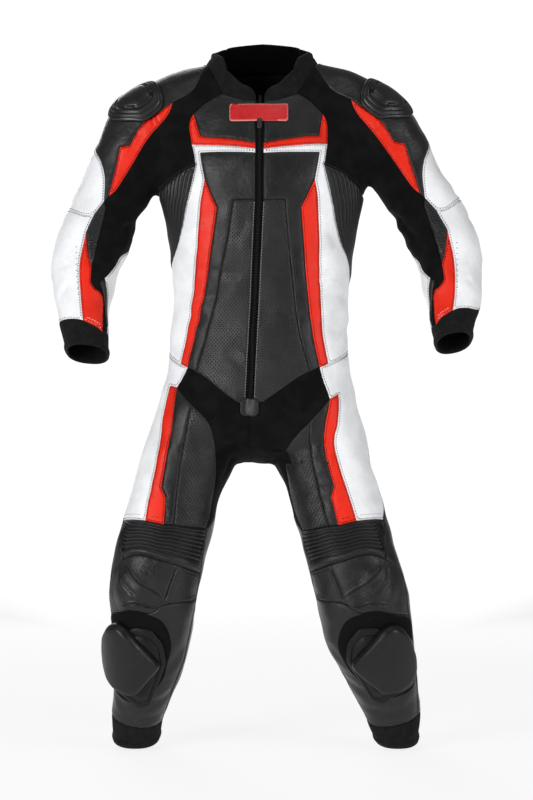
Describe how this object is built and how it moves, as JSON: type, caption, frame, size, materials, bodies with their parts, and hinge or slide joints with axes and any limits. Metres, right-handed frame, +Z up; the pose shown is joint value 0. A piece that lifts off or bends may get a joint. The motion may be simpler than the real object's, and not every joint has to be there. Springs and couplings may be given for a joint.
{
  "type": "motorcycle race suit",
  "caption": "One-piece leather motorcycle race suit, filled out and hollow, with a front zip, ribbed stretch panels, shoulder cups, knee sliders, and open neck, cuffs and ankles.",
  "frame": {"origin": "inside the collar, on the neck's middle line at the height where the collar is sewn on in front, where the wearer's neck and shoulders hold the suit", "axes": "+Z up from the ankles to the collar, -Y the way the chest faces, +X towards the wearer's left arm"},
  "size_m": [0.7282, 0.26, 1.2175],
  "materials": {
    "leather_black": "semi-matt grained leather",
    "leather_red": "semi-matt grained leather",
    "leather_white": "semi-matt grained leather",
    "stretch_black": "matt woven stretch fabric",
    "knit_black": "matt soft binding",
    "zip_tape": "woven tape with moulded teeth",
    "plastic_black": "moulded, satin",
    "patch_red": "plain patch with a pale border",
    "metal_dark": "satin"
  },
  "bodies": {
    "root": {"back": "leather_black", "zip": "zip_tape", "collar": "knit_black", "badge": "patch_red", "zip_tab": "leather_black", "zip_slider": "metal_dark", "chest_r": "leather_black", "chest_l": "leather_black", "yoke_red_r": "leather_red", "yoke_red_l": "leather_red", "front_white_r": "leather_white", "front_white_l": "leather_white", "front_upper_r": "leather_black", "front_upper_l": "leather_black", "front_lower_r": "leather_black", "front_lower_l": "leather_black", "stripe_red_r": "leather_red", "stripe_red_l": "leather_red", "side_rib_r": "leather_black", "side_rib_l": "leather_black", "shoulder_r": "leather_black", "shoulder_l": "leather_black", "flash_red_r": "leather_red", "flash_red_l": "leather_red", "sleeve_stretch_r": "stretch_black", "sleeve_stretch_l": "stretch_black", "white_upper_r": "leather_white", "white_upper_l": "leather_white", "white_fore_r": "leather_white", "white_fore_l": "leather_white", "elbow_rib_r": "leather_black", "elbow_rib_l": "leather_black", "fore_red_r": "leather_red", "fore_red_l": "leather_red", "cuff_r": "knit_black", "cuff_l": "knit_black", "leg_stretch_r": "stretch_black", "leg_stretch_l": "stretch_black", "thigh_white_r": "leather_white", "thigh_white_l": "leather_white", "thigh_red_r": "leather_red", "thigh_red_l": "leather_red", "thigh_side_r": "leather_black", "thigh_side_l": "leather_black", "thigh_front_r": "leather_black", "thigh_front_l": "leather_black", "leg_back_r": "leather_black", "leg_back_l": "leather_black", "knee_rib_r": "leather_black", "knee_rib_l": "leather_black", "knee_panel_r": "leather_black", "knee_panel_l": "leather_black", "shin_r": "leather_black", "shin_l": "leather_black", "ankle_cuff_r": "knit_black", "ankle_cuff_l": "knit_black", "shoulder_cup_r": "plastic_black", "shoulder_cup_l": "plastic_black", "knee_slider_r": "plastic_black", "knee_slider_l": "plastic_black"}
  },
  "joints": []
}
